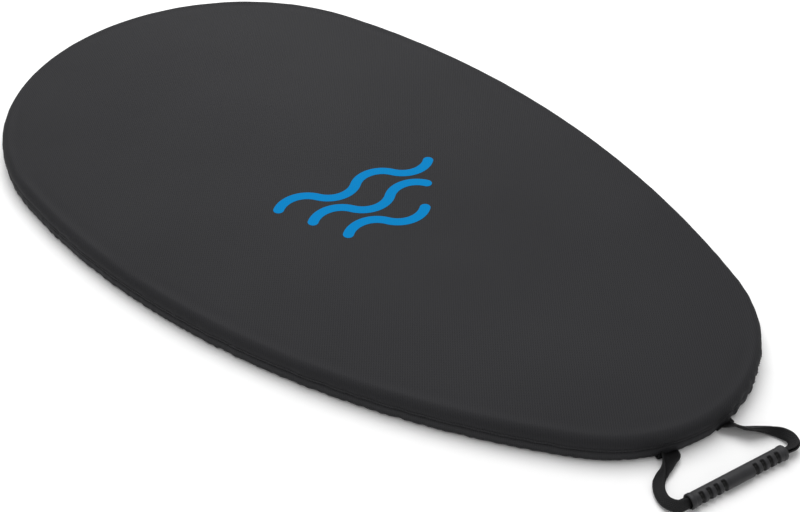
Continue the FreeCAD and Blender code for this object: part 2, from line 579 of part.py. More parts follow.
make_deck()
make_ring("side_band", BAND_INSET, BAND_TOP, f"({HEM_TOP} - Sizes.ply_gap - {BAND_TOP})")
make_ring("seam_tape", TAPE_INSET, BAND_TOP, f"({HEM_TOP} - Sizes.tape_clearance - {BAND_TOP})")
make_hem()
make_cord()
make_crimp()
make_threads()
make_root(1, "left")
make_root(-1, "right")
make_loop()
make_grip()
make_print()
make_label()
document.recompute()

for item in document.Objects:
    if "Invalid" in item.State or "Error" in item.State:
        raise RuntimeError(f"{item.Label} failed: {item.State}")

os.makedirs("parts", exist_ok=True)
for item in document.Objects:
    is_piece = item.isDerivedFrom("PartDesign::Body") or item.Label == "print_mark"
    if not is_piece:
        continue
    shape = item.Shape
    if shape.isNull() or not shape.isValid() or shape.Volume < 0.1:
        raise RuntimeError(f"{item.Label} has no valid shape")
    shape.exportStep(f"parts/{item.Label}.step")
    print(f"{item.Label}: {len(shape.Solids)} solid(s), {shape.Volume:.1f} mm3")
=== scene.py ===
import json
import math

import bpy
import numpy as np
from mathutils import Matrix, Vector


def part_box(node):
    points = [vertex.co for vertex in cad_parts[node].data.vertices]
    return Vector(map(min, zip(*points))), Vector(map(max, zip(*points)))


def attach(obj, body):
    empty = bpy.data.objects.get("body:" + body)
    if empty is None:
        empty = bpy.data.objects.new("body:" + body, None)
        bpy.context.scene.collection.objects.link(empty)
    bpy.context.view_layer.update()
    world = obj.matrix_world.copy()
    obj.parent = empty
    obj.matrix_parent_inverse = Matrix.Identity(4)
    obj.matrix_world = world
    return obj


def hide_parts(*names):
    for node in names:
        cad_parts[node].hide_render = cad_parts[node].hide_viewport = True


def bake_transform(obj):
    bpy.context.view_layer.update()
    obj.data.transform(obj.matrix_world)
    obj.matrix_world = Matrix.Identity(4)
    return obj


# A kayak cockpit cover: pip-weave cloth drawn over a rim, an elastic hem and a webbing grab handle.
# Frame: +X to the bow, +Z up, the origin in the middle of the deck's flat underside. The sizes below
# are in millimetres, and each mesh is scaled to metres as it is made.

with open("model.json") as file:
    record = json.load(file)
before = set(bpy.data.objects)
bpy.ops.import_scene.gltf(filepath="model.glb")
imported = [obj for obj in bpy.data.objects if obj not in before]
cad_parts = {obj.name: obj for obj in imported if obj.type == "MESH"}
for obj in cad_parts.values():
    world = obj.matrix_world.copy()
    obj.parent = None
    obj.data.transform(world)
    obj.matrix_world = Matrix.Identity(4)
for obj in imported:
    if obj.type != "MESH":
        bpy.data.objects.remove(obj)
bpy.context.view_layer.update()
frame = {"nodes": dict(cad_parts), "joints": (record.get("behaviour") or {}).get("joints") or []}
MM = 0.001
NODES = frame["nodes"]
JOINTS = {joint["name"]: joint for joint in frame["joints"]}

# ------------------------------------------------------------------------------------ sizes
deck_low, deck_high = (np.array(corner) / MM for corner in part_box("deck_panel"))
hem_low = np.array(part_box("hem_casing")[0]) / MM
LENGTH = deck_high[0] - deck_low[0]
WIDTH = deck_high[1] - deck_low[1]
REAR_RADIUS = 0.48 * WIDTH
FRONT_RADIUS = 0.30 * WIDTH
FRONT_X = LENGTH / 2 - FRONT_RADIUS
REAR_X = REAR_RADIUS - LENGTH / 2
DECK_TOP = deck_high[2]
SKIRT_BOTTOM = deck_low[2]
FLOOR = hem_low[2]
SEAM_REVEAL = 1.5
HEM_TOP = SKIRT_BOTTOM - SEAM_REVEAL
HEM_WIDTH = 11.0
EDGE_RADIUS = 8.0
CLOTH = 1.0
DECK_STEPS = 768           # samples of the deck round the outline
HEM_STEPS = 1280           # samples of the hem and the strips round the outline

FOLD = np.array(JOINTS["handle_swing"]["pos_m"]) / MM
GRIP = np.array(JOINTS["grip_turn"]["pos_m"]) / MM
ACROSS = np.array(JOINTS["grip_turn"]["axis"])            # along the grip, to the left
OUTWARD = np.array([ACROSS[1], -ACROSS[0], 0.0])          # away from the cover
UP = np.array([0.0, 0.0, 1.0])
TWIST = math.atan2(OUTWARD[1], OUTWARD[0])
HALF_ROOT_SPACING = 33.0     # from the handle's middle to the middle of each end of its webbing
HINGE_OFFSET = 3.6           # from the outline to the line the handle folds about
ROOT_TURN = math.asin(HALF_ROOT_SPACING / FRONT_RADIUS)


# ------------------------------------------------------------------------------------ outline
def outline_arcs():
    """The four arcs of the outline: centre x, centre y, radius, first and last direction."""
    half = WIDTH / 2
    span, rear_rise, front_rise = FRONT_X - REAR_X, half - REAR_RADIUS, half - FRONT_RADIUS
    slack = REAR_RADIUS - FRONT_RADIUS
    root = math.sqrt(rear_rise * (span ** 2 - slack ** 2))
    root = (span ** 2 + rear_rise * slack) / (span * math.sqrt(front_rise) + root)
    flank = (root ** 2 + FRONT_RADIUS + half) / 2
    flank_x, flank_y = FRONT_X - math.sqrt(front_rise) * root, flank - half
    front_end = math.atan2(flank_y, FRONT_X - flank_x)
    rear_end = math.atan2(flank_y, REAR_X - flank_x)
    turn = 2 * math.pi
    return [(FRONT_X, 0, FRONT_RADIUS, -front_end, front_end),
            (flank_x, -flank_y, flank, front_end, rear_end),
            (REAR_X, 0, REAR_RADIUS, rear_end, turn - rear_end),
            (flank_x, flank_y, flank, turn - rear_end, turn - front_end)]


ARCS = outline_arcs()
PERIMETER = sum(radius * (last - first) for _, _, radius, first, last in ARCS)


def outline(distance):
    """Points and outward normals of the outline at distances along it, from the front arc's start."""
    distance = np.mod(np.asarray(distance, float), PERIMETER)
    point, normal = np.zeros(distance.shape + (2,)), np.zeros(distance.shape + (2,))
    start = 0.0
    for x, y, radius, first, last in ARCS:
        run = radius * (last - first)
        on_arc = (distance >= start - 1e-9) & (distance <= start + run + 1e-9)
        angle = first + (distance[on_arc] - start) / radius
        normal[on_arc] = np.stack([np.cos(angle), np.sin(angle)], -1)
        point[on_arc] = np.array([x, y]) + radius * normal[on_arc]
        start += run
    return point, normal


def distance_at(angle):
    """How far along the outline the front arc points in a direction."""
    return FRONT_RADIUS * (angle - ARCS[0][3])


def samples(count):
    """Even distances along the outline, with their points and normals."""
    along = np.arange(count) / count * PERIMETER
    return (along, *outline(along))


def waves(along, seed, shortest, longest, count=14):
    """A smooth, uneven wave along the outline, about 1 high, that closes on itself."""
    draw = np.random.default_rng(seed)
    total = np.zeros_like(along)
    for _ in range(count):
        length = math.exp(draw.uniform(math.log(shortest), math.log(longest)))
        turns = max(1, round(PERIMETER / length))
        phase = draw.uniform(0, 6.283)
        total += math.sqrt(2 / count) * np.sin(2 * math.pi * turns * along / PERIMETER + phase)
    return total


def near(along, place, reach):
    """A bell along the outline round a place, 1 at its middle."""
    gap = np.mod(along - place + PERIMETER / 2, PERIMETER) - PERIMETER / 2
    return np.exp(-(gap / reach) ** 2)


# ------------------------------------------------------------------------------------ meshes
def new_object(name, vertices, faces, cloth=None, smooth=True):
    """A mesh object from points in millimetres, with its cloth coordinates in metres."""
    mesh = bpy.data.meshes.new(name)
    mesh.from_pydata((np.asarray(vertices) * MM).tolist(), [], faces)
    if cloth is not None:
        flat = np.zeros((len(vertices), 3), np.float32)
        flat[:, :cloth.shape[1]] = np.asarray(cloth) * MM
        mesh.attributes.new("cloth", "FLOAT_VECTOR", "POINT").data.foreach_set("vector", flat.ravel())
    mesh.polygons.foreach_set("use_smooth", [smooth] * len(mesh.polygons))
    mesh.update()
    thing = bpy.data.objects.new(name, mesh)
    bpy.context.scene.collection.objects.link(thing)
    return thing


def grid_normals(grid, closed_rows):
    """Unit normals of a grid of points whose columns close on themselves."""
    along = np.roll(grid, -1, 1) - np.roll(grid, 1, 1)
    if closed_rows:
        down = np.roll(grid, -1, 0) - np.roll(grid, 1, 0)
    else:
        down = np.gradient(grid, axis=0)
    normal = np.cross(along, down)
    return normal / np.linalg.norm(normal, axis=2, keepdims=True)


def grid_faces(rows, columns, offset, closed_rows, flip):
    """Quads of a grid whose columns close on themselves."""
    faces = []
    for row in range(rows if closed_rows else rows - 1):
        below = (row + 1) % rows
        for column in range(columns):
            beside = (column + 1) % columns
            quad = [offset + row * columns + column, offset + row * columns + beside,
                    offset + below * columns + beside, offset + below * columns + column]
            faces.append(quad[::-1] if flip else quad)
    return faces


def cloth_ring(name, grid, cloth, thickness, closed_rows=False, capped=False):
    """A sheet of cloth with a thickness: rows run across it, columns right round the cover.
    The grid is its outer face. A capped sheet is closed over its last row."""
    rows, columns = grid.shape[:2]
    inner = grid - grid_normals(grid, closed_rows) * thickness
    count = rows * columns
    vertices = np.concatenate([grid.reshape(-1, 3), inner.reshape(-1, 3)])
    faces = grid_faces(rows, columns, 0, closed_rows, False)
    faces += grid_faces(rows, columns, count, closed_rows, True)
    if not closed_rows:
        ends = [0] if capped else [0, rows - 1]
        for row in ends:
            for column in range(columns):
                beside = (column + 1) % columns
                first, second = row * columns + column, row * columns + beside
                quad = [first, first + count, second + count, second]
                faces.append(quad if row == 0 else quad[::-1])
    if capped:
        last = (rows - 1) * columns
        faces.append(list(range(last, last + columns)))
        faces.append(list(range(count + last + columns - 1, count + last - 1, -1)))
    flat = cloth.reshape(-1, cloth.shape[-1])
    return new_object(name, vertices, faces, np.concatenate([flat, flat]))


def loose_parts(name, template, faces, origins, frames):
    """Many copies of one small closed shape in one mesh: frames are (n, 3, 3) rows of axes."""
    placed = origins[:, None, :] + np.einsum("vk,nkc->nvc", template, frames)
    count = len(template)
    every = [[index + number * count for index in face]
             for number in range(len(origins)) for face in faces]
    return new_object(name, placed.reshape(-1, 3), every)


def stitch_shape(length, radius, lift, rings=6, sides=6):
    """One stitch: a short thread along the first axis that arches up along the third."""
    vertices, faces = [], []
    for ring in range(rings):
        share = ring / (rings - 1)
        thick = radius * (0.45 + 0.55 * math.sin(math.pi * share) ** 0.5)
        for side in range(sides):
            angle = 2 * math.pi * side / sides
            vertices.append([(share - 0.5) * length, thick * math.cos(angle),
                             lift * math.sin(math.pi * share) + thick * math.sin(angle)])
    for ring in range(rings - 1):
        for side in range(sides):
            beside = (side + 1) % sides
            faces.append([ring * sides + side, ring * sides + beside,
                          (ring + 1) * sides + beside, (ring + 1) * sides + side])
    faces.append(list(range(sides))[::-1])
    faces.append(list(range((rings - 1) * sides, rings * sides)))
    return np.array(vertices), faces


# ------------------------------------------------------------------------------------ deck
PUCKERS = distance_at(math.radians(12.0))     # the bow's left side, where the hem is drawn up hardest


def edge_ripple(along):
    """How the cloth of the wall stands in and out along the outline."""
    calm = 0.22 * waves(along, 11, 16, 60)
    return calm + 0.75 * near(along, PUCKERS, 34) * waves(along, 5, 11, 17, 6)


def deck_rows():
    """The deck's rows from the skirt's lower edge to the middle: unrolled inset, inset, height, direction."""
    rows = []
    quarter = EDGE_RADIUS * math.pi / 2
    low = SKIRT_BOTTOM
    bend = DECK_TOP - EDGE_RADIUS
    for height in np.linspace(low, bend, 6)[:-1]:
        rows.append((EDGE_RADIUS - quarter - (bend - height), 0.0, height))
    for angle in np.linspace(0, math.pi / 2, 13):
        inset = EDGE_RADIUS * (1 - math.cos(angle))
        height = bend + EDGE_RADIUS * math.sin(angle)
        rows.append((EDGE_RADIUS - quarter + EDGE_RADIUS * angle, inset, height))
    for inset in (9.5, 11, 12.5, 14, 16, 18, 20.5, 23, 26, 30, 35, 42):
        rows.append((inset, inset, DECK_TOP))
    return rows


def make_deck():
    """The deck's cloth: flat and taut, with a soft ridge where it turns over the rim."""
    rows = deck_rows()
    grid, cloth = [], []
    along, point, normal = samples(DECK_STEPS)
    ripple = edge_ripple(along)
    slow = waves(along, 3, 60, 320)
    for unrolled, inset, height in rows:
        fade = np.clip(1 - inset / 26, 0, 1) ** 2
        wall = np.clip((DECK_TOP - height) / EDGE_RADIUS, 0, 1)
        out = ripple * wall
        ridge = 0.3 * math.exp(-((inset - 7.5) / 3.5) ** 2) - 0.35 * math.exp(-((inset - 15) / 6) ** 2)
        rise = ridge * (1 + 0.35 * slow) + 0.12 * fade * (1 - wall) * waves(along, 21, 24, 80)
        place = point - normal * (inset - out)[:, None]
        grid.append(np.column_stack([place, height + rise]))
        cloth.append(point - normal * unrolled)
    last_flat = cloth[-1]
    last = grid[-1]
    middle = np.array([-12.0, 0.0])
    for share in np.linspace(0, 0.985, 22)[1:]:
        grid.append(np.column_stack([middle + (last[:, :2] - middle) * (1 - share),
                                     DECK_TOP + (last[:, 2] - DECK_TOP) * (1 - share) ** 2]))
        cloth.append(middle + (last_flat - middle) * (1 - share))
    deck = cloth_ring("deck_cloth", np.array(grid), np.array(cloth), CLOTH, capped=True)
    return deck


# ------------------------------------------------------------------------------------ wall and hem
def ring_grid(section):
    """A grid that follows the outline: section rows are (inset, height)."""
    along, point, normal = samples(HEM_STEPS)
    out = edge_ripple(along)
    return np.array([np.column_stack([point - normal * (inset - out)[:, None], np.full(HEM_STEPS, height)])
                     for inset, height in section])


def strip_cloth(section):
    """Cloth coordinates of a ring: along the outline, and across the strip."""
    across = np.concatenate([[0], np.cumsum(np.hypot(*np.diff(np.array(section), axis=0).T))])
    return np.stack(np.broadcast_arrays(samples(HEM_STEPS)[0][None, :], across[:, None]), -1)


def make_strip(name, inset, top, bottom, thickness):
    """A narrow upright ring of cloth or tape."""
    section = [(inset, height) for height in np.linspace(bottom, top, 5)]
    return cloth_ring(name, ring_grid(section), strip_cloth(section), thickness)


ROOTS = [distance_at(TWIST + side * ROOT_TURN) for side in (-1, 1)]
NOTCH_HALF = 12.2            # half the width of the hem's lift over the webbing
NOTCH_SLOPE = 1.9            # the run over which that lift fades out
HEM_SIDES = 36


def make_hem():
    """The hem: a gathered tube of cloth round the elastic cord, lifted where the webbing passes under."""
    middle_inset, middle_height = HEM_WIDTH / 2, (HEM_TOP + FLOOR) / 2
    half_wide, half_high = HEM_WIDTH / 2, (HEM_TOP - FLOOR) / 2
    along, point, normal = samples(HEM_STEPS)
    gathers = waves(along, 31, 7, 16, 18)
    soft = waves(along, 37, 18, 60)
    hard = near(along, PUCKERS, 36) * waves(along, 5, 11, 17, 6)
    notch = sum(np.clip((NOTCH_HALF - np.abs(np.mod(along - root + PERIMETER / 2, PERIMETER)
                                       - PERIMETER / 2)) / NOTCH_SLOPE, 0, 1) for root in ROOTS)
    notch = notch * notch * (3 - 2 * notch)
    grid, cloth = [], []
    for side in range(HEM_SIDES):
        angle = 2 * math.pi * side / HEM_SIDES
        c, s = math.cos(angle), math.sin(angle)
        power = 2 / 3.4
        wide = math.copysign(abs(c) ** power, c) * half_wide
        high = math.copysign(abs(s) ** power, s) * half_high
        inner = 0.5 - 0.5 * c
        swell = 0.12 * soft + (0.16 + 0.45 * inner) * gathers * (1 - 0.55 * notch) + 0.4 * hard * (1 - inner)
        swell = np.minimum(swell, 0.25 + 1.2 * inner) if abs(c) < 0.3 else swell
        inset = middle_inset - wide - swell * c
        height = np.full(HEM_STEPS, middle_height + high) + swell * s
        height = np.maximum(height, FLOOR + 0.05 + 2.4 * notch)
        height = np.minimum(height, HEM_TOP + 0.25)
        out = edge_ripple(along) * max(0.0, 1 - inner) * 0.6
        grid.append(np.column_stack([point - normal * (inset - out)[:, None], height]))
        cloth.append(np.column_stack([along * 1.18, np.full(HEM_STEPS, side / HEM_SIDES * 39.0)]))
    return cloth_ring("hem_cloth", np.array(grid), np.array(cloth), 0.8, closed_rows=True)


def make_upstand():
    """The hem's sewn edge, which stands up between the band and the tape."""
    return make_strip("hem_upstand", 2.15, HEM_TOP + 4.8, HEM_TOP - 1.0, 0.8)


def seam_stitches(name, inset, height, pitch, length, radius):
    """A row of stitches round the wall, each lying on the cloth's ripples."""
    count = int(PERIMETER / pitch)
    along = np.arange(count) / count * PERIMETER
    point, normal = outline(along)
    out = edge_ripple(along)
    origin = np.column_stack([point - normal * (inset - out)[:, None], np.full(count, height)])
    third = np.column_stack([normal, np.zeros(count)])
    first = np.column_stack([-normal[:, 1], normal[:, 0], np.zeros(count)])
    second = np.broadcast_to(UP, first.shape)
    template, faces = stitch_shape(length, radius, radius * 1.1)
    return loose_parts(name, template, faces, origin, np.stack([first, second, third], 1))


# ------------------------------------------------------------------------------------ handle
def in_handle(outward, across, height):
    """A point given from the fold line: outward, along the grip, and above the floor."""
    return np.array([FOLD[0], FOLD[1], FLOOR]) + outward * OUTWARD + across * ACROSS + height * UP


WEBBING = 1.4
LEAN = 0.98 * OUTWARD - 0.57 * ACROSS      # how far the strap lies outward for each millimetre it rises
FOLD_BEND = 1.05
HALF_WEBBING = 10.0


def webbing_section(fold, squeeze, samples=17):
    """The webbing's section: a flat strip that folds in two along its middle as fold goes from 0 to 1.
    Returns points of its middle line as (side, rise) and their normals."""
    run = np.linspace(-HALF_WEBBING, HALF_WEBBING, samples)
    final = max(fold, 1e-4) * math.radians(88)
    bend = FOLD_BEND
    turn = np.clip(run / bend, -final, final)
    rest = run - turn * bend
    side = bend * np.sin(turn) + rest * np.cos(turn)
    rise = bend * (1 - np.cos(turn)) + np.abs(rest) * np.sin(abs(final))
    normal = np.stack([-np.sin(turn), np.cos(turn)], -1)
    rise = (rise - rise.max() / 2) * squeeze
    return np.stack([side, rise], -1), normal


def smooth_path(points, steps):
    """A Catmull-Rom curve through the stations' rows, with the same number of steps on each."""
    points = np.asarray(points, float)
    padded = np.concatenate([2 * points[:1] - points[1:2], points, 2 * points[-1:] - points[-2:-1]])
    rows = []
    for number in range(len(points) - 1):
        a, b, c, d = padded[number:number + 4]
        for share in np.arange(steps) / steps:
            rows.append(0.5 * (2 * b + (c - a) * share + (2 * a - 5 * b + 4 * c - d) * share ** 2
                               + (3 * b - a - 3 * c + d) * share ** 3))
    rows.append(points[-1])
    return np.array(rows)


def half_strap(side, leg, rolls, folds, root_turn):
    """The stations of one half of the strap, from its sewn end to the middle of the grip:
    outward, across, height, roll in degrees, fold and squeeze."""
    def root(radius):
        return (radius * math.cos(root_turn) - (FRONT_RADIUS + HINGE_OFFSET) * math.cos(ROOT_TURN),
                radius * math.sin(root_turn))
    tail = 142.75
    stations = []
    for radius, height in ((tail, 10.0), (tail, 6.5), (tail, 3.4), (tail + 0.5, 1.7), (tail + 2.2, 0.8),
                           (147.5, 0.78), (152.0, 0.78), (156.0, 0.8)):
        stations.append((*root(radius), height, 0.0, 0.0, 1.0))
    stations.append((*root(159.6), 0.95, rolls[0], folds[0], 1.0))
    squeezes = [1, 1, 1, 1, 1, 1, 1, 1, 1, 0.95, 0.85, 0.62, 0.6, 0.6]
    for (outward, across), roll, fold, squeeze in zip(leg, rolls[1:], folds[1:], squeezes):
        height = min(0.95 + 6.0 * outward / 42.0, 6.75)
        stations.append((outward, across, height, roll, fold, squeeze))
    rows = np.array(stations)
    rows[:, 1] *= side
    return rows


IN_GRIP = [(45.6, 47.5), (45.6, 43.0), (45.6, 30.0), (45.6, 14.0)]
LEFT_LEG = [(3.0, 36.6), (7.5, 44.3), (12.5, 51.2), (17.5, 57.0), (23.0, 61.4), (29.5, 64.6), (36.0, 65.6),
            (41.8, 63.4), (45.0, 59.5), (45.6, 54.5)] + IN_GRIP
RIGHT_LEG = [(3.0, 38.0), (7.0, 44.5), (12.0, 51.0), (18.0, 57.2), (24.5, 63.0), (31.0, 67.0), (37.5, 68.3),
             (43.0, 66.0), (45.3, 61.0), (45.6, 55.0)] + IN_GRIP
LEFT_ROLLS = [0, 14, 38, 60, 72, 72, 62, 52, 46, 43, 42, 40, 40, 40, 40]
NEAR_SHIFT = 0.012           # how far round the near end lies towards the middle, in radians
RIGHT_ROLLS = [-30, -42, -44, -44, -45, -48, -52, -56, -54, -50, -44, -42, -40, -40, -40]
LEFT_FOLDS = [0.30, 0.55, 0.8, 0.93, 0.98] + [1.0] * 10
RIGHT_FOLDS = [0.10, 0.10, 0.12, 0.20, 0.36, 0.60, 0.85, 0.97] + [1.0] * 7


def make_strap():
    """The handle's strap: one length of webbing from sewn end to sewn end, through the grip."""
    near_half = half_strap(-1, LEFT_LEG, LEFT_ROLLS, LEFT_FOLDS, ROOT_TURN - NEAR_SHIFT)
    far_half = half_strap(1, RIGHT_LEG, RIGHT_ROLLS, RIGHT_FOLDS, ROOT_TURN)
    path = smooth_path(np.concatenate([near_half, far_half[::-1]]), 7)
    centre = np.array([in_handle(*row[:3]) for row in path])
    tangent = np.gradient(centre, axis=0)
    tangent /= np.linalg.norm(tangent, axis=1, keepdims=True)
    length = np.concatenate([[0], np.cumsum(np.linalg.norm(np.diff(centre, axis=0), axis=1))])
    across = np.cross(tangent, UP)
    flat_part = np.linalg.norm(across, axis=1)
    for number, row in enumerate(path):
        if flat_part[number] < 0.8 or row[0] < -0.5:
            root = np.cross([math.cos(TWIST + ROOT_TURN * np.sign(row[1])),
                             math.sin(TWIST + ROOT_TURN * np.sign(row[1])), 0], UP)
            across[number] = root * np.sign(row[1]) * -1.0
    across /= np.linalg.norm(across, axis=1, keepdims=True)
    across -= tangent * np.sum(across * tangent, axis=1, keepdims=True)
    across /= np.linalg.norm(across, axis=1, keepdims=True)
    rise = np.cross(across, tangent)
    outer, inner, flat = [], [], []
    for number, row in enumerate(path):
        roll = math.radians(row[3])
        side_axis = math.cos(roll) * across[number] + math.sin(roll) * rise[number]
        rise_axis = -math.sin(roll) * across[number] + math.cos(roll) * rise[number]
        section, normal = webbing_section(row[4], row[5])
        middle = centre[number] + section[:, :1] * side_axis + section[:, 1:] * rise_axis
        facing = normal[:, :1] * side_axis + normal[:, 1:] * rise_axis
        thick = WEBBING / 2 * np.ones(len(section))
        thick[[0, -1]] *= 0.55
        above, below = middle + facing * thick[:, None], middle - facing * thick[:, None]
        lift = max(0.0, FLOOR + 0.08 - min(above[:, 2].min(), below[:, 2].min()))
        free = min(max((row[0] - 0.5) / 7.0, 0.0), 1.0)
        raised = lift * (UP + free * free * (3 - 2 * free) * LEAN)
        outer.append(above + raised)
        inner.append(below + raised)
        flat.append([(length[number], (share - 0.5) * 2 * HALF_WEBBING)
                     for share in np.linspace(0, 1, len(section))])
    outer, inner, flat = np.array(outer), np.array(inner), np.array(flat)
    rows, columns = outer.shape[:2]
    loop = np.concatenate([outer, inner[:, ::-1]], 1)
    loop_flat = np.concatenate([flat, flat[:, ::-1]], 1)
    around = 2 * columns
    faces = grid_faces(rows, around, 0, False, True)
    faces.append(list(range(around)))
    faces.append(list(range((rows - 1) * around, rows * around))[::-1])
    strap = new_object("webbing_strap", loop.reshape(-1, 3), faces, loop_flat.reshape(-1, 2))
    return strap


GRIP_HALF = 51.5
GROOVE_INSET, GROOVE_PITCH, GROOVE_DEPTH = 11.2, 7.8, 1.9
GROOVES = [sign * (GRIP_HALF - GROOVE_INSET - GROOVE_PITCH * number)
           for sign in (-1, 1) for number in range(4)]
GROOVE_FACE = math.radians(50) - math.asin(6.0 / 46.0)    # how far the grooves face below level


def grip_radius(along, turn):
    """The grip's outer radius: ribs and collars, and grooves that fade out towards the plain spine."""
    radius = np.full_like(along, 6.3)
    end = GRIP_HALF - np.abs(along)
    collar = np.clip((4.6 - end) / 0.9, 0, 1)
    radius += 0.4 * collar * collar * (3 - 2 * collar)
    radius -= 1.1 * np.clip(1 - end / 1.3, 0, 1) ** 2.2
    mask = np.clip((math.radians(143) - np.abs(turn)) / math.radians(20), 0, 1)
    mask = mask * mask * (3 - 2 * mask)
    for place in GROOVES:
        gap = np.abs(along - place)
        cut = np.clip((2.3 - gap) / 1.1, 0, 1)
        radius -= GROOVE_DEPTH * mask * cut * cut * (3 - 2 * cut)
        lip = np.exp(-((gap - 2.9) / 0.7) ** 2)
        radius += 0.10 * mask * lip
    radius += 0.05 * np.cos(turn * 2) * np.exp(-(along / 12) ** 2)
    return radius


def make_grip():
    """The moulded grip, with a flared mouth at each end where the webbing goes in."""
    around = 96
    turn = np.linspace(-math.pi, math.pi, around, endpoint=False)
    outer = np.unique(np.concatenate([np.linspace(-GRIP_HALF, GRIP_HALF, 221),
                                      [-GRIP_HALF + 0.12, GRIP_HALF - 0.12]]))
    rows = [(place, None) for place in outer]
    bore = [(GRIP_HALF - 0.15, 5.0), (GRIP_HALF - 0.8, 4.75), (GRIP_HALF - 2.5, 4.5), (GRIP_HALF - 5, 4.1),
            (GRIP_HALF - 8, 3.8), (GRIP_HALF - 12, 3.7), (20, 3.7), (0, 3.7)]
    rows += bore + [(-place, radius) for place, radius in bore[-2::-1]]
    face = math.cos(GROOVE_FACE) * OUTWARD - math.sin(GROOVE_FACE) * UP
    beside = np.cross(ACROSS, face)
    grid = []
    for place, radius in rows:
        reach = grip_radius(np.full(around, place), turn) if radius is None else np.full(around, radius)
        ring = GRIP + place * ACROSS + reach[:, None] * (np.cos(turn)[:, None] * face
                                                        + np.sin(turn)[:, None] * beside)
        grid.append(ring)
    grid = np.array(grid)
    faces = grid_faces(len(rows), around, 0, True, True)
    reach = np.linalg.norm(grid - GRIP - np.array([row[0] for row in rows])[:, None, None] * ACROSS, axis=2)
    # the third cloth coordinate holds how deep each point lies below the plain radius, which the rubber uses
    # for painted shade in the grooves
    flat = np.stack(np.broadcast_arrays(np.array([row[0] for row in rows])[:, None], turn[None, :] * 6.3,
                                        np.clip(6.3 - reach, 0, 2)), -1)
    return new_object("grip_moulding", grid.reshape(-1, 3), faces, flat.reshape(-1, 3))


# ------------------------------------------------------------------------------------ small cloth parts
def arc_patch(name, centre_x, direction, radius, half_run, section, thickness, wobble=0.0):
    """A small curved piece of cloth on an arc: section rows are (radius offset, height), outer face."""
    columns = 25
    angles = direction + np.linspace(-half_run, half_run, columns) / radius
    rows = np.array(section)
    spot = np.stack([np.cos(angles), np.sin(angles)], -1)
    def surface(shift):
        lines = []
        for number, (offset, height) in enumerate(rows):
            step = rows[min(number + 1, len(rows) - 1)] - rows[max(number - 1, 0)]
            step = step / np.linalg.norm(step)
            normal = np.array([step[1], -step[0]])
            wave = wobble * np.sin(np.linspace(0, 5, columns) + number * 0.5) * number / len(rows)
            reach = radius + offset + shift * normal[0] + wave
            lines.append(np.column_stack([centre_x + spot[:, 0] * reach, spot[:, 1] * reach,
                                          np.full(columns, height + shift * normal[1])]))
        return np.array(lines)
    outer, inner = surface(thickness / 2), surface(-thickness / 2)
    loop = np.concatenate([outer, inner[:, ::-1]], 1)
    count, around = loop.shape[:2]
    faces = grid_faces(count, around, 0, False, False)
    faces.append(list(range(around))[::-1])
    faces.append(list(range((count - 1) * around, count * around)))
    run = np.linspace(-half_run, half_run, columns)
    run = np.concatenate([run, run[::-1]])
    across = np.concatenate([[0], np.cumsum(np.linalg.norm(np.diff(rows, axis=0), axis=1))])
    flat = np.stack(np.broadcast_arrays(run[None, :], across[:, None]), -1)
    return new_object(name, loop.reshape(-1, 3), faces, flat.reshape(-1, 2))


# ------------------------------------------------------------------------------------ materials
def srgb(red, green, blue):
    """An sRGB colour from 0 to 255 as linear values."""
    values = [value / 255 for value in (red, green, blue)]
    linear = [value / 12.92 if value <= 0.04045 else ((value + 0.055) / 1.055) ** 2.4 for value in values]
    return linear + [1.0]


class Shader:
    """A material under construction: nodes are added and joined by short calls."""

    def __init__(self, name, roughness=0.8, specular=0.3, **sockets):
        self.material = bpy.data.materials.new(name)
        self.material.use_nodes = True
        self.tree = self.material.node_tree
        self.shader = self.tree.nodes["Principled BSDF"]
        self.shader.inputs["Roughness"].default_value = roughness
        self.shader.inputs["Specular IOR Level"].default_value = specular
        for key, value in sockets.items():
            self.shader.inputs[key.replace("_", " ").title()].default_value = value

    def node(self, kind, **inputs):
        made = self.tree.nodes.new("ShaderNode" + kind)
        for key, value in inputs.items():
            socket = made.inputs[int(key[1:])] if key[0] == "i" and key[1:].isdigit() else made.inputs[key]
            if isinstance(value, bpy.types.NodeSocket):
                self.tree.links.new(value, socket)
            else:
                socket.default_value = value
        return made

    def math(self, operation, first, second=0.0, third=0.0):
        made = self.node("Math", i0=first, i1=second, i2=third)
        made.operation = operation
        return made.outputs[0]

    def cloth(self):
        made = self.tree.nodes.new("ShaderNodeAttribute")
        made.attribute_name = "cloth"
        return made.outputs["Vector"]

    def place(self):
        return self.tree.nodes.new("ShaderNodeTexCoord").outputs["Object"]

    def noise(self, vector, scale, detail=3.0):
        return self.node("TexNoise", Vector=vector, Scale=scale, Detail=detail).outputs[0]

    def turned(self, vector, degrees):
        made = self.node("Mapping", Vector=vector)
        made.inputs["Rotation"].default_value = (0, 0, math.radians(degrees))
        return made.outputs[0]

    def cosines(self, vector, first_pitch, second_pitch):
        """Two waves, from -1 to 1, along the first and second coordinate."""
        parts = self.node("SeparateXYZ", Vector=vector)
        return [self.math("COSINE", self.math("MULTIPLY", parts.outputs[axis], 2 * math.pi / pitch))
                for axis, pitch in ((0, first_pitch), (1, second_pitch))]

    def ramp(self, value, stops):
        made = self.node("ValToRGB", Fac=value)
        elements = made.color_ramp.elements
        while len(elements) < len(stops):
            elements.new(0.5)
        for element, (position, colour) in zip(elements, stops):
            element.position, element.color = position, colour
        return made.outputs[0]

    def colour(self, socket):
        self.tree.links.new(socket, self.shader.inputs["Base Color"])

    def roughness(self, socket):
        self.tree.links.new(socket, self.shader.inputs["Roughness"])

    def bump(self, height, distance, strength=1.0):
        made = self.node("Bump", Height=height, Distance=distance, Strength=strength)
        self.tree.links.new(made.outputs[0], self.shader.inputs["Normal"])


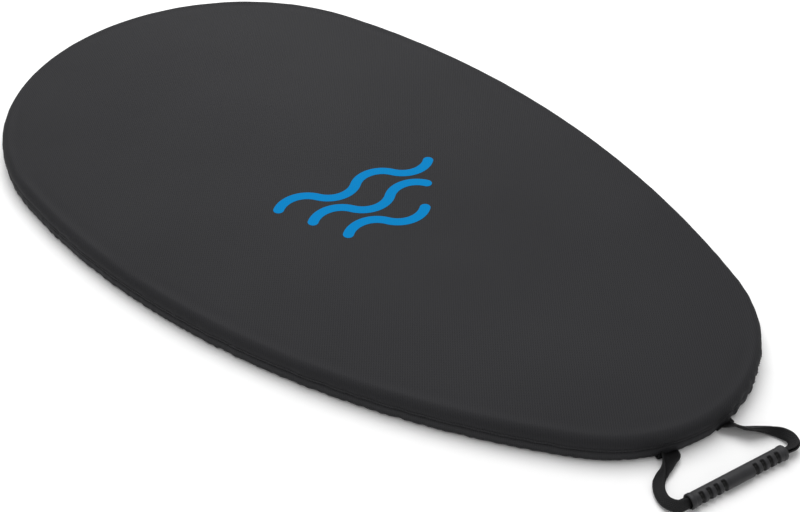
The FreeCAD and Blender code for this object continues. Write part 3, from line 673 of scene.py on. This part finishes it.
def pip_cloth(name, dark, light, grain, pitch=2.1 * MM, relief=0.00012, **sockets):
    """Coated cloth with a fine weave of staggered pips, slightly uneven in tone."""
    made = Shader(name, **sockets)
    flat = made.turned(made.cloth(), grain)
    rib, weft = made.cosines(flat, pitch, pitch * 1.35)
    pips = made.math("MULTIPLY", rib, made.math("MULTIPLY_ADD", weft, 0.45, 0.55))
    fine = made.noise(made.place(), 900.0, 2.0)
    broad = made.noise(made.place(), 5.0, 4.0)
    tone = made.math("MULTIPLY_ADD", pips, 0.23, 0.5)
    tone = made.math("ADD", tone, made.math("MULTIPLY_ADD", fine, 0.35, -0.175))
    tone = made.math("ADD", tone, made.math("MULTIPLY_ADD", broad, 0.35, -0.175))
    made.colour(made.ramp(tone, [(0.1, dark), (0.9, light)]))
    made.roughness(made.math("MULTIPLY_ADD", fine, 0.16, 0.62))
    made.bump(made.math("ADD", pips, made.math("MULTIPLY", fine, 0.5)), relief)
    return made.material


def woven_strip(name, dark, light, pitch_along, pitch_across, relief, **sockets):
    """Woven tape or webbing: short floats that step across the strip, and uneven yarns."""
    made = Shader(name, **sockets)
    along, across = made.cosines(made.cloth(), pitch_along, pitch_across)
    weave = made.math("MULTIPLY", along, across)
    yarn = made.noise(made.cloth(), 700.0, 2.0)
    broad = made.noise(made.place(), 30.0)
    tone = made.math("MULTIPLY_ADD", weave, 0.22, 0.5)
    tone = made.math("ADD", tone, made.math("MULTIPLY_ADD", yarn, 0.4, -0.2))
    tone = made.math("ADD", tone, made.math("MULTIPLY_ADD", broad, 0.3, -0.15))
    made.colour(made.ramp(tone, [(0.1, dark), (0.9, light)]))
    made.roughness(made.math("MULTIPLY_ADD", yarn, 0.2, 0.5))
    made.bump(made.math("ADD", weave, made.math("MULTIPLY", yarn, 0.6)), relief)
    return made.material


def spun(name, dark, light, scale, relief, **sockets):
    """Thread, braid or rubber: a fine uneven surface, darker in its hollows."""
    made = Shader(name, **sockets)
    grain = made.noise(made.place(), scale, 4.0)
    made.colour(made.ramp(grain, [(0.3, dark), (0.7, light)]))
    made.roughness(made.math("MULTIPLY_ADD", grain, 0.25, 0.4))
    made.bump(grain, relief)
    return made.material


def grip_rubber():
    """Moulded rubber with a satin skin, scuffed unevenly, with painted shade that darkens it down in the
    grooves.
    """
    made = Shader("grip_rubber", specular=0.26)
    parts = made.node("SeparateXYZ", Vector=made.cloth())
    # painted shade: the groove depth from the third cloth coordinate is taken off the tone, so the rubber
    # turns near black down in the grooves
    painted_groove_shade = made.math("MULTIPLY", parts.outputs[2], 700.0)
    grain = made.noise(made.place(), 1600.0, 3.0)
    scuff = made.noise(made.place(), 120.0, 4.0)
    tone = made.math("SUBTRACT", made.math("MULTIPLY_ADD", scuff, 0.5, 0.45), painted_groove_shade)
    tone = made.math("ADD", tone, made.math("MULTIPLY_ADD", grain, 0.3, -0.15))
    # the near-black first stop is the painted shade in the grooves
    made.colour(made.ramp(tone, [(0.0, srgb(5, 5, 5)), (0.45, srgb(28, 28, 30)), (1.0, srgb(54, 54, 56))]))
    made.roughness(made.math("MULTIPLY_ADD", scuff, 0.3, 0.34))
    made.bump(grain, 0.00004)
    return made.material


DECK_CLOTH = pip_cloth("deck_cloth", srgb(29, 29, 31), srgb(49, 49, 51), -41, specular=0.1)
HEM_CLOTH = pip_cloth("hem_cloth", srgb(34, 34, 36), srgb(58, 58, 60), 0, relief=0.0001, specular=0.14)
BAND_CLOTH = pip_cloth("band_cloth", srgb(22, 22, 24), srgb(40, 40, 42), 0, pitch=1.2 * MM, relief=0.00006,
                       specular=0.12)
PATCH_CLOTH = pip_cloth("patch_cloth", srgb(30, 30, 32), srgb(50, 50, 52), 0, pitch=0.9 * MM, relief=0.00005)
TAPE_CLOTH = woven_strip("tape_cloth", srgb(12, 12, 13), srgb(30, 30, 32), 1.0 * MM, 0.9 * MM, 0.00008,
                          specular=0.15)
WEBBING_CLOTH = woven_strip("webbing", srgb(8, 8, 9), srgb(38, 38, 39), 1.9 * MM, 2.2 * MM, 0.00016,
                             specular=0.16)
THREAD = spun("thread", srgb(26, 26, 28), srgb(52, 52, 54), 2200.0, 0.00005)
GRIP_RUBBER = grip_rubber()
SHEATH = spun("cord_sheath", srgb(18, 18, 18), srgb(40, 40, 40), 1500.0, 0.00008)
CORE = spun("cord_rubber", srgb(30, 29, 28), srgb(46, 45, 44), 600.0, 0.00005)
CRIMP = spun("crimp_metal", srgb(150, 150, 152), srgb(190, 190, 192), 300.0, 0.00002, Metallic=1.0)
LABEL = woven_strip("label_cloth", srgb(196, 196, 193), srgb(232, 232, 229), 0.5 * MM, 0.5 * MM, 0.00003)


def print_film():
    """Matt ink that has sunk a little into the weave of the cloth."""
    made = Shader("print_film", specular=0.02)
    flat = made.turned(made.place(), -41)
    rib, weft = made.cosines(flat, 2.1 * MM, 2.1 * 1.35 * MM)
    pips = made.math("MULTIPLY", rib, made.math("MULTIPLY_ADD", weft, 0.45, 0.55))
    fine = made.noise(made.place(), 900.0, 2.0)
    tone = made.math("MULTIPLY_ADD", pips, 0.15, 0.5)
    tone = made.math("ADD", tone, made.math("MULTIPLY_ADD", fine, 0.4, -0.2))
    made.colour(made.ramp(tone, [(0.0, srgb(0, 106, 162)), (1.0, srgb(2, 124, 186))]))
    made.roughness(made.math("MULTIPLY_ADD", fine, 0.15, 0.5))
    made.bump(pips, 0.00006)
    return made.material


PRINT = print_film()


def paint(thing, material):
    """Gives every slot of an object one material."""
    thing.data.materials.clear()
    thing.data.materials.append(material)


# ------------------------------------------------------------------------------------ assembly
def add(piece, body, slot, material, *nodes):
    """Puts a finished piece on its body, in the place of its CAD nodes."""
    paint(piece, material)
    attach(piece, body)
    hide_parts(*nodes)
    return piece


deck = add(make_deck(), "cover", "deck_cloth", DECK_CLOTH, "deck_panel")
band = add(make_strip("side_band_cloth", 1.1, -7.6, HEM_TOP + 0.05, 0.9), "cover", "band_cloth", BAND_CLOTH,
           "side_band")
add(make_strip("seam_tape_strip", 3.2, -7.6, -12.9, 0.8), "cover", "tape_cloth", TAPE_CLOTH, "seam_tape")
hem = add(make_hem(), "cover", "hem_cloth", HEM_CLOTH, "hem_casing")
upstand = add(make_upstand(), "cover", "hem_cloth", HEM_CLOTH)
STITCH_PITCH, STITCH_LENGTH = 3.0, 2.4
add(seam_stitches("deck_seam_stitches", -0.1, -9.75, STITCH_PITCH, STITCH_LENGTH, 0.28),
    "cover", "thread", THREAD, "deck_seam_thread")
add(seam_stitches("hem_seam_stitches", 0.95, -12.75, STITCH_PITCH, STITCH_LENGTH, 0.25),
    "cover", "thread", THREAD, "hem_seam_thread")

strap = make_strap()
paint(strap, WEBBING_CLOTH)
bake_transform(strap)
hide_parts("webbing_loop", "webbing_tail_left", "webbing_tail_right")
add(make_grip(), "grip", "grip_rubber", GRIP_RUBBER, "grip_tube")

for word, side in (("left", 1), ("right", -1)):
    direction = TWIST + side * ROOT_TURN
    patch = arc_patch(f"patch_cloth_{word}", FRONT_X, direction, 144.45, 14.9,
                      [(0.0, height) for height in np.linspace(-23.1, -14.7, 9)], 0.9)
    add(patch, "cover", "patch_cloth", PATCH_CLOTH, f"patch_{word}")

label_section = [(7.3, -13.2), (5.0, -13.2), (2.5, -13.2), (1.0, -13.25), (0.25, -13.6), (0.0, -14.6),
                 (0.0, -17), (0.05, -20), (0.0, -23.3)]
label_radius = REAR_RADIUS - HEM_WIDTH - 0.35
label = arc_patch("label_strip", REAR_X, math.pi, label_radius, 16.9, label_section, 0.45, 0.15)
add(label, "cover", "label_cloth", LABEL, "care_label")

for node, material in (("shock_cord_core", CORE), ("shock_cord_sheath", SHEATH), ("cord_crimp", CRIMP),
                       ("print_mark", PRINT), ("bar_tack_left", THREAD), ("bar_tack_right", THREAD)):
    paint(NODES[node], material)

# ------------------------------------------------------------------------------------ stage
floor_mesh = bpy.data.meshes.new("floor")
reach = 6.0
floor_mesh.from_pydata([(-reach, -reach, 0), (reach, -reach, 0), (reach, reach, 0), (-reach, reach, 0)], [],
                       [(0, 1, 2, 3)])
floor = bpy.data.objects.new("floor", floor_mesh)
floor.location = (0, 0, FLOOR * MM - 0.0002)
bpy.context.scene.collection.objects.link(floor)
floor_paint = Shader("floor", roughness=0.9, specular=0.1)
speck = floor_paint.noise(floor_paint.place(), 40.0, 2.0)
floor_paint.colour(floor_paint.ramp(speck, [(0.0, (0.93, 0.93, 0.93, 1)), (1.0, (0.96, 0.96, 0.96, 1))]))
paint(floor, floor_paint.material)

bpy.context.scene.view_settings.view_transform = "Standard"
world = bpy.data.worlds.new("studio")
bpy.context.scene.world = world
world.use_nodes = True
world.node_tree.nodes["Background"].inputs["Color"].default_value = (1, 1, 1, 1)
world.node_tree.nodes["Background"].inputs["Strength"].default_value = 0.55


def area_light(name, place, target, size, power):
    """A square soft box that faces a point."""
    light = bpy.data.lights.new(name, "AREA")
    light.energy, light.size = power, size
    thing = bpy.data.objects.new(name, light)
    thing.location = place
    aim = Vector(target) - Vector(place)
    thing.rotation_euler = aim.to_track_quat("-Z", "Y").to_euler()
    bpy.context.scene.collection.objects.link(thing)
    return thing


area_light("overhead", (-0.3, 0.3, 1.9), (0, 0, 0), 1.8, 34)
area_light("from_behind", (-1.6, 1.4, 1.1), (-0.2, 0.1, 0), 1.2, 14)

# ------------------------------------------------------------------------------------ camera
AZIMUTH, ELEVATION, ROLL = math.radians(41.1), math.radians(41.3), math.radians(0.8)
DISTANCE, SHIFT_RIGHT, SHIFT_UP, FOCAL = 1156.0, 46.1, -81.8, 49.5
back = Vector((math.sin(AZIMUTH) * math.cos(ELEVATION), -math.cos(AZIMUTH) * math.cos(ELEVATION),
               math.sin(ELEVATION)))
right = Vector((math.cos(AZIMUTH), math.sin(AZIMUTH), 0.0))
upward = back.cross(right)
right, upward = (math.cos(ROLL) * right + math.sin(ROLL) * upward,
                 math.cos(ROLL) * upward - math.sin(ROLL) * right)
lens = bpy.data.cameras.new("camera")
lens.lens, lens.sensor_width = FOCAL, 36.0
lens.clip_start, lens.clip_end = 0.05, 30.0
camera = bpy.data.objects.new("camera", lens)
camera.matrix_world = Matrix((
    (right.x, upward.x, back.x, (DISTANCE * back + SHIFT_RIGHT * right + SHIFT_UP * upward).x * MM),
    (right.y, upward.y, back.y, (DISTANCE * back + SHIFT_RIGHT * right + SHIFT_UP * upward).y * MM),
    (right.z, upward.z, back.z, (DISTANCE * back + SHIFT_RIGHT * right + SHIFT_UP * upward).z * MM),
    (0, 0, 0, 1)))
bpy.context.scene.collection.objects.link(camera)
bpy.context.scene.camera = camera

bpy.context.view_layer.update()
